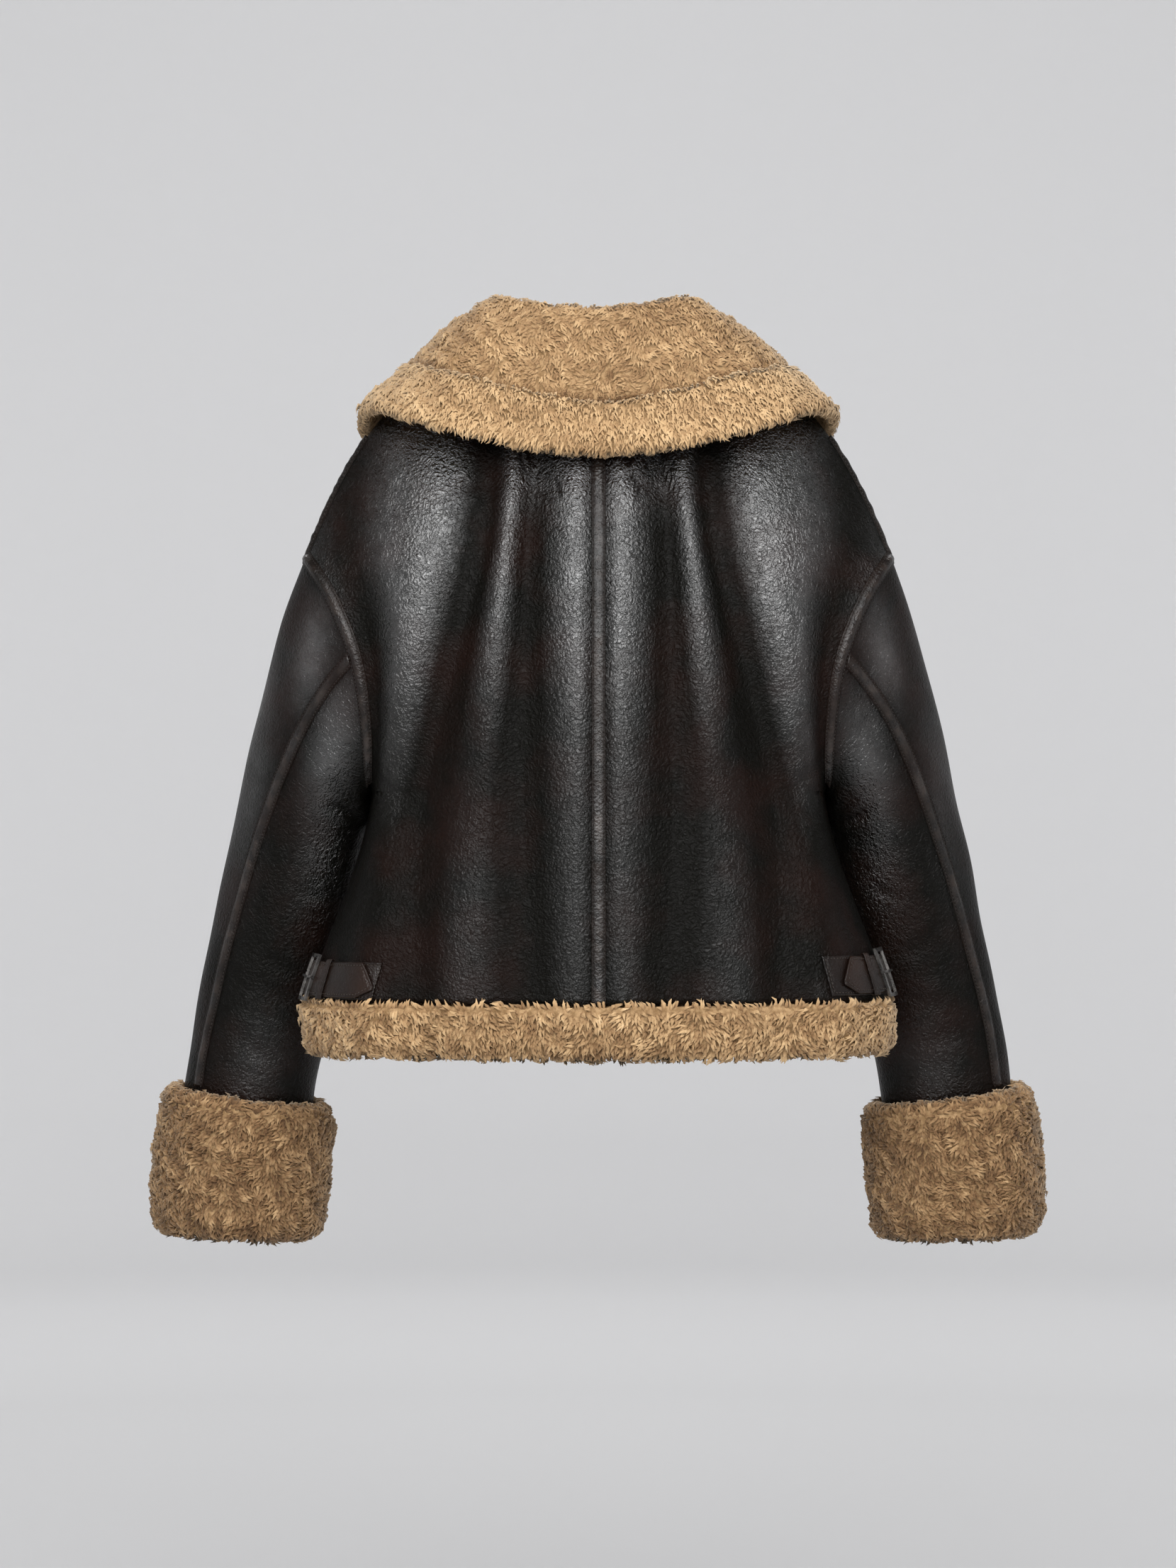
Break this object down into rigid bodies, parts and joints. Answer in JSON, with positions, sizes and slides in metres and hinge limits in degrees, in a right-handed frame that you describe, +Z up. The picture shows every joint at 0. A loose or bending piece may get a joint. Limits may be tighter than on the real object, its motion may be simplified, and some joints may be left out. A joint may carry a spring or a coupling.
{
  "type": "lined jacket",
  "caption": "Cropped leather jacket lined with shearling, with a wide fold-down collar, hem band, turned-up cuffs, waist straps with buckles and a front zip.",
  "frame": {"origin": "midway between the neck points of the shoulder seams, where the wearer's shoulders hold the jacket", "axes": "+Z up; the garment's back faces -Y and its front +Y; +X is the wearer's right"},
  "size_m": [0.7792, 0.3136, 0.8015],
  "materials": {
    "leather": "glossy crackled brown-black faux leather",
    "shearling": "curly tan pile",
    "metal": "dark satin metal",
    "zip_cloth": "woven zip tape"
  },
  "bodies": {
    "jacket": {"back_left": "leather", "back_right": "leather", "collar": "shearling", "collar_border": "shearling", "cuff_left": "shearling", "cuff_right": "shearling", "front_left": "leather", "front_right": "leather", "hem_band": "shearling", "sleeve_under_left": "leather", "sleeve_under_right": "leather", "sleeve_upper_left": "leather", "sleeve_upper_right": "leather", "tape_armhole_left": "leather", "tape_armhole_right": "leather", "tape_centre_back": "leather", "tape_shoulder_left": "leather", "tape_shoulder_right": "leather", "tape_sleeve_left": "leather", "tape_sleeve_right": "leather", "waist_buckle_left": "metal", "waist_buckle_right": "metal", "waist_keeper_left": "leather", "waist_keeper_right": "leather", "waist_prong_left": "metal", "waist_prong_right": "metal", "waist_strap_left": "leather", "waist_strap_right": "leather", "waist_tab_left": "leather", "waist_tab_right": "leather", "zip_slider": "metal", "zip_tape_left": "zip_cloth", "zip_tape_right": "zip_cloth", "zip_teeth": "metal"},
    "zip_pull": {"zip_pull": "metal"}
  },
  "joints": [
    {"name": "zip_pull_hinge", "type": "hinge", "parent": "jacket", "child": "zip_pull", "pos_m": [0, 0.07705, -0.10563], "axis": [1, 0, 0], "range_deg": [0, 150]}
  ]
}
